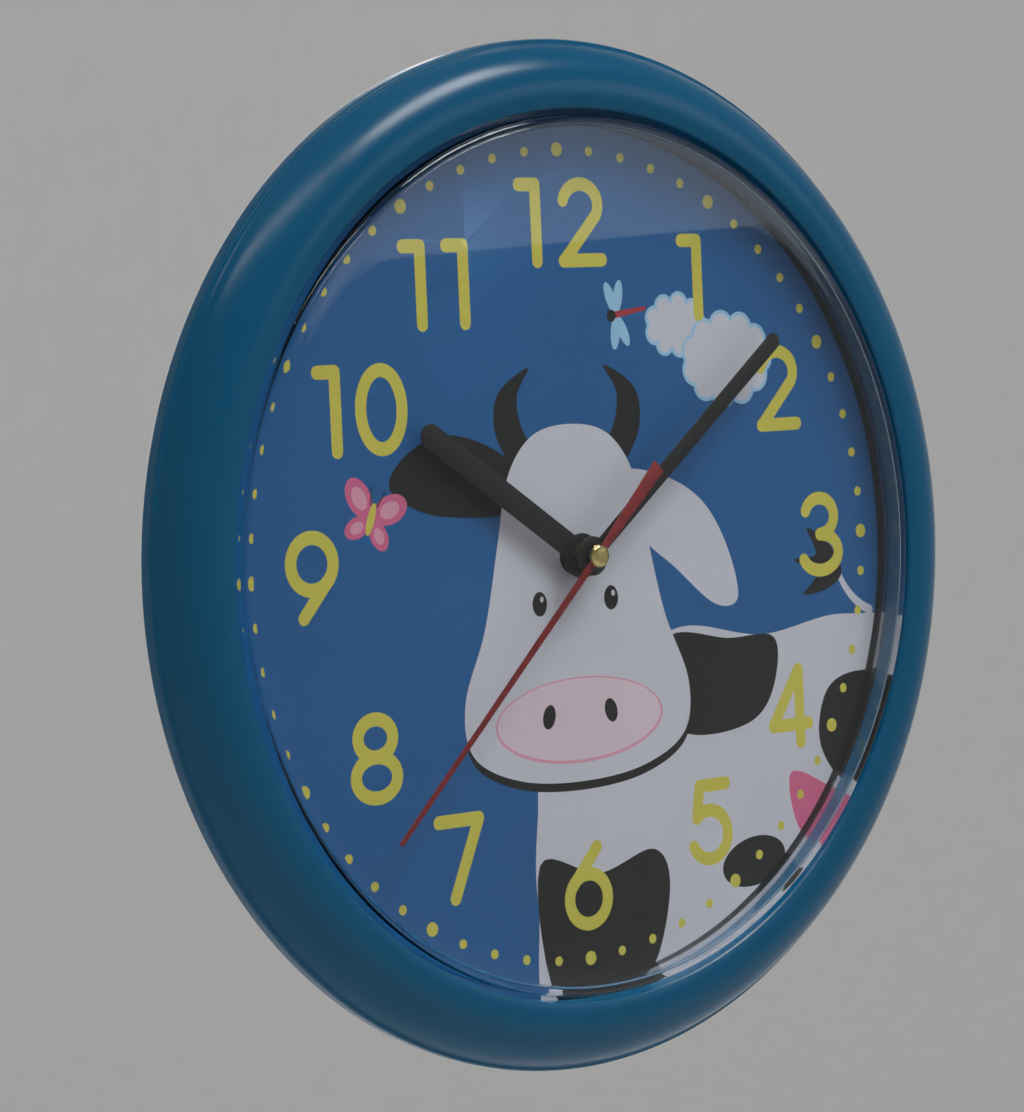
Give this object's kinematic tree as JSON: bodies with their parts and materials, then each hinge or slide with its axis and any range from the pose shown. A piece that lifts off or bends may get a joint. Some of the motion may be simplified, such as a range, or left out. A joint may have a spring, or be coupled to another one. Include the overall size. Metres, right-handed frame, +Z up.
{
  "type": "wall clock",
  "caption": "Round wall clock with a rolled blue bezel, a clear tray lens, a printed picture dial, three hands and a battery stepping movement, hung from one screw by a keyhole plate",
  "frame": {"origin": "The seat of the wall screw in the hanger plate's keyhole, in the plane of the wall", "axes": "+Z up, -Y to the front (the dial faces -Y), +Y into the wall, +X to the right seen from the front; the hands' arbor is at x = 0, z = -0.092"},
  "size_m": [0.25, 0.0386, 0.25],
  "materials": {
    "case_ring": "glossy moulded",
    "lens": "clear moulded polystyrene",
    "dial_card": "printed, satin",
    "back_case": "moulded, fine texture",
    "movement_cradle": "moulded, fine texture",
    "case_screws": "zinc plated",
    "hanger_plate": "stamped, zinc plated",
    "hanger_screws": "zinc plated",
    "hour_hand": "satin black",
    "hour_hand_collet": "turned",
    "minute_hand": "satin black",
    "minute_hand_collet": "satin black",
    "second_hand": "satin red",
    "second_hand_tube": "turned",
    "second_hand_cap": "polished",
    "movement_case": "moulded black",
    "movement_cover": "moulded black",
    "train_plate": "moulded natural",
    "bridge_plate": "moulded natural",
    "hour_wheel": "moulded acetal",
    "minute_arbor": "turned",
    "minute_wheel": "moulded acetal",
    "centre_wheel": "stamped",
    "third_wheel": "moulded acetal",
    "second_wheel": "moulded acetal",
    "second_arbor": "ground",
    "fifth_wheel": "moulded acetal",
    "rotor_pinion": "moulded acetal",
    "rotor_magnet": "sintered",
    "setting_knob": "moulded",
    "stator": "stamped",
    "coil_core": "stamped",
    "coil_bobbin": "moulded natural",
    "coil_winding": "enamelled copper wire",
    "circuit_board": "green solder mask",
    "quartz_crystal": "drawn can",
    "chip_cover": "black resin",
    "positive_contact": "phosphor bronze strip",
    "negative_contact": "spring strip",
    "battery_cell": "nickel plated",
    "battery_sleeve": "plain printed film"
  },
  "bodies": {
    "case": {"case_ring": "case_ring", "lens": "lens", "dial_card": "dial_card", "back_case": "back_case", "movement_cradle": "movement_cradle", "case_screws": "case_screws", "hanger_plate": "hanger_plate", "hanger_screws": "hanger_screws", "movement_case": "movement_case", "movement_cover": "movement_cover", "train_plate": "train_plate", "bridge_plate": "bridge_plate", "stator": "stator", "coil_core": "coil_core", "coil_bobbin": "coil_bobbin", "coil_winding": "coil_winding", "circuit_board": "circuit_board", "quartz_crystal": "quartz_crystal", "chip_cover": "chip_cover", "positive_contact": "positive_contact", "negative_contact": "negative_contact"},
    "hour": {"hour_hand": "hour_hand", "hour_hand_collet": "hour_hand_collet", "hour_wheel": "hour_wheel"},
    "minute": {"minute_hand": "minute_hand", "minute_hand_collet": "minute_hand_collet", "minute_arbor": "minute_arbor"},
    "second": {"second_hand": "second_hand", "second_hand_tube": "second_hand_tube", "second_hand_cap": "second_hand_cap", "second_wheel": "second_wheel", "second_arbor": "second_arbor"},
    "minute_gear": {"minute_wheel": "minute_wheel"},
    "centre_gear": {"centre_wheel": "centre_wheel"},
    "third_gear": {"third_wheel": "third_wheel"},
    "fifth_gear": {"fifth_wheel": "fifth_wheel"},
    "rotor": {"rotor_pinion": "rotor_pinion", "rotor_magnet": "rotor_magnet"},
    "time_knob": {"setting_knob": "setting_knob"},
    "battery": {"battery_cell": "battery_cell", "battery_sleeve": "battery_sleeve"}
  },
  "joints": [
    {"name": "minute_turn", "type": "hinge", "parent": "case", "child": "minute", "pos_m": [0, -0.015, -0.092], "axis": [0, 1, 0], "continuous": true},
    {"name": "hour_turn", "type": "hinge", "parent": "case", "child": "hour", "pos_m": [0, -0.015, -0.092], "axis": [0, 1, 0], "continuous": true},
    {"name": "minute_gear_turn", "type": "hinge", "parent": "case", "child": "minute_gear", "pos_m": [-0.00866, -0.015, -0.087], "axis": [0, 1, 0], "continuous": true},
    {"name": "time_set_turn", "type": "hinge", "parent": "case", "child": "time_knob", "pos_m": [-0.01923, -0.015, -0.09085], "axis": [0, 1, 0], "continuous": true},
    {"name": "second_turn", "type": "hinge", "parent": "case", "child": "second", "pos_m": [0, -0.015, -0.092], "axis": [0, 1, 0], "continuous": true},
    {"name": "centre_gear_turn", "type": "hinge", "parent": "case", "child": "centre_gear", "pos_m": [0, -0.015, -0.092], "axis": [0, 1, 0], "continuous": true},
    {"name": "third_gear_turn", "type": "hinge", "parent": "case", "child": "third_gear", "pos_m": [0.00883, -0.015, -0.0869], "axis": [0, 1, 0], "continuous": true},
    {"name": "fifth_gear_turn", "type": "hinge", "parent": "case", "child": "fifth_gear", "pos_m": [-0.00463, -0.015, -0.08648], "axis": [0, 1, 0], "continuous": true},
    {"name": "rotor_turn", "type": "hinge", "parent": "case", "child": "rotor", "pos_m": [-0.00584, -0.015, -0.07959], "axis": [0, 1, 0], "continuous": true},
    {"name": "battery_out", "type": "slide", "parent": "case", "child": "battery", "axis": [0, 1, 0], "range_m": [0, 0.024]}
  ],
  "couplings": [
    {"joint": "hour_turn", "follows": "minute_turn", "ratio": 0.083333},
    {"joint": "minute_gear_turn", "follows": "minute_turn", "ratio": -0.33333},
    {"joint": "time_set_turn", "follows": "minute_turn", "ratio": 0.66667},
    {"joint": "third_gear_turn", "follows": "second_turn", "ratio": -0.13333},
    {"joint": "centre_gear_turn", "follows": "second_turn", "ratio": 0.016667},
    {"joint": "fifth_gear_turn", "follows": "second_turn", "ratio": -5},
    {"joint": "rotor_turn", "follows": "second_turn", "ratio": 30}
  ]
}
